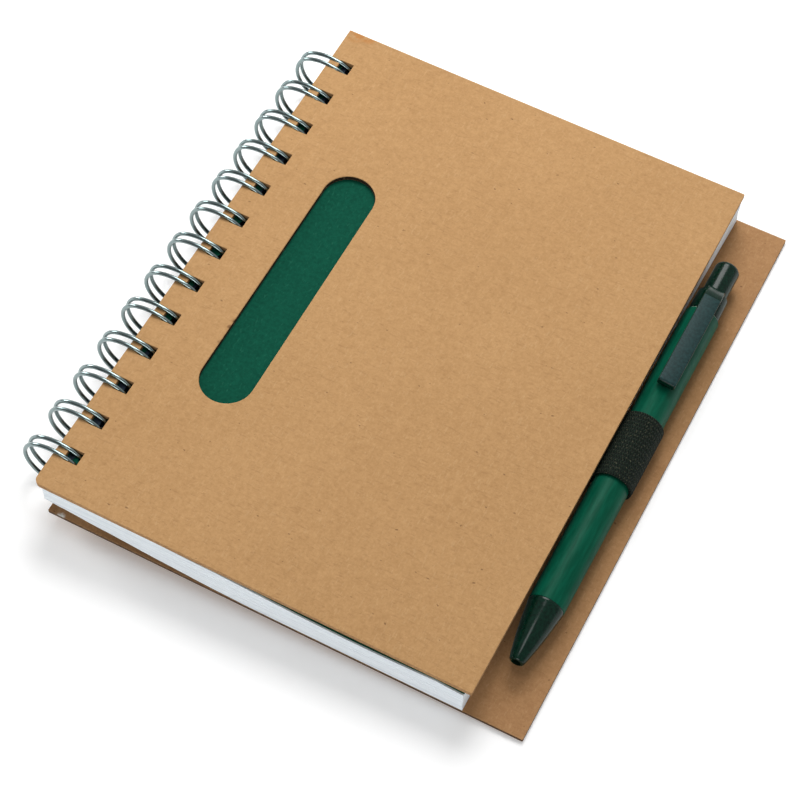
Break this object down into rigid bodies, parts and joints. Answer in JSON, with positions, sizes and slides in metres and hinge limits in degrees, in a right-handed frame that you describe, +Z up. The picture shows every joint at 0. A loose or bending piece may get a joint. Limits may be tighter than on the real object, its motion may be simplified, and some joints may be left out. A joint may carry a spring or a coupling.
{
  "type": "spiral notebook",
  "caption": "Wire-bound notebook with kraft board covers, a coloured first sheet behind a window in the front cover, and a click pen in an elastic loop on the wider back cover.",
  "frame": {"origin": "on the table, under the middle of the whole object as it rests on its rings and its back cover's fore-edge", "axes": "+X from the spine to the fore-edge, +Y along the spine from the pen's tip to its button, +Z up through the front cover"},
  "size_m": [0.1544, 0.1778, 0.0202],
  "materials": {
    "kraft_board": "matte",
    "green_paper": "matte",
    "white_paper": "matte",
    "bright_wire": "polished",
    "knitted_elastic": "matte",
    "barrel_paper": "satin",
    "dark_plastic": "gloss",
    "slate_plastic": "gloss",
    "cam_plastic": "satin",
    "spring_steel": "satin",
    "ink_tube_plastic": "satin",
    "point_metal": "satin",
    "ball_steel": "polished"
  },
  "bodies": {
    "book_block": {"page_block": "white_paper", "flyleaf": "green_paper", "binding_loop_01": "bright_wire", "binding_loop_02": "bright_wire", "binding_loop_03": "bright_wire", "binding_loop_04": "bright_wire", "binding_loop_05": "bright_wire", "binding_loop_06": "bright_wire", "binding_loop_07": "bright_wire", "binding_loop_08": "bright_wire", "binding_loop_09": "bright_wire", "binding_loop_10": "bright_wire", "binding_loop_11": "bright_wire", "binding_loop_12": "bright_wire", "binding_loop_13": "bright_wire"},
    "front_board": {"front_cover": "kraft_board"},
    "back_board": {"back_cover": "kraft_board", "pen_loop": "knitted_elastic", "pen_nose_cone": "dark_plastic", "pen_barrel": "barrel_paper", "pen_clip_collar": "slate_plastic", "pen_spring": "spring_steel"},
    "push_button": {"pen_push_button": "dark_plastic"},
    "refill": {"pen_cam": "cam_plastic", "refill_tube": "ink_tube_plastic", "refill_point": "point_metal", "refill_ball": "ball_steel"}
  },
  "joints": [
    {"name": "front_cover_hinge", "type": "hinge", "parent": "book_block", "child": "front_board", "pos_m": [-0.06713, 0, 0.0101], "axis": [0, -1, 0], "range_deg": [0, 180]},
    {"name": "back_cover_hinge", "type": "hinge", "parent": "book_block", "child": "back_board", "pos_m": [-0.06713, 0, 0.0101], "axis": [0, 1, 0], "range_deg": [0, 180]},
    {"name": "button_slide", "type": "slide", "parent": "back_board", "child": "push_button", "axis": [0, -1, 0], "range_m": [0, 0.005], "stiffness_N_per_m": 300, "springref_m": -0.004},
    {"name": "refill_slide", "type": "slide", "parent": "back_board", "child": "refill", "axis": [0, -1, 0], "range_m": [0, 0.005], "deforming": ["pen_spring"]}
  ],
  "couplings": [
    {"joint": "refill_slide", "follows": "button_slide", "ratio": 1}
  ]
}
